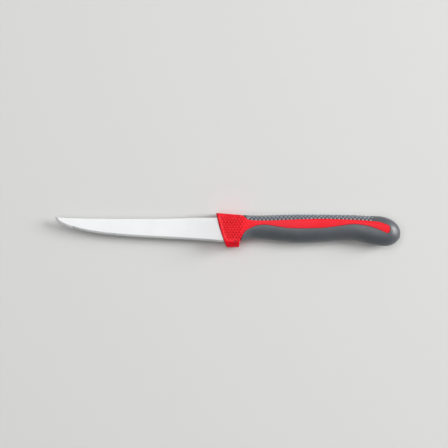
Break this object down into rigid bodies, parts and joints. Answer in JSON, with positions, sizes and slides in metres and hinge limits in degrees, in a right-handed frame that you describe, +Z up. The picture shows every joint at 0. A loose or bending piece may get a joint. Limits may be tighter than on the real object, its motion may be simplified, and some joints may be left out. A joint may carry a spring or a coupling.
{
  "type": "serrated vegetable knife",
  "caption": "Small kitchen knife with a finely toothed steel blade moulded into a red and grey handle with a finger guard.",
  "frame": {"origin": "middle of the footprint of the knife lying on its side, on the surface that it lies on", "axes": "+X from the tip to the butt, +Y from the cutting edge to the back of the blade, +Z up, square to the blade's face"},
  "size_m": [0.2397, 0.0237, 0.015],
  "materials": {
    "blade_steel": "fine ground, bright",
    "red_plastic": "moulded, satin",
    "grey_rubber": "moulded, matt"
  },
  "bodies": {
    "root": {"blade": "blade_steel", "handle_core": "red_plastic", "soft_grip": "grey_rubber"}
  },
  "joints": []
}
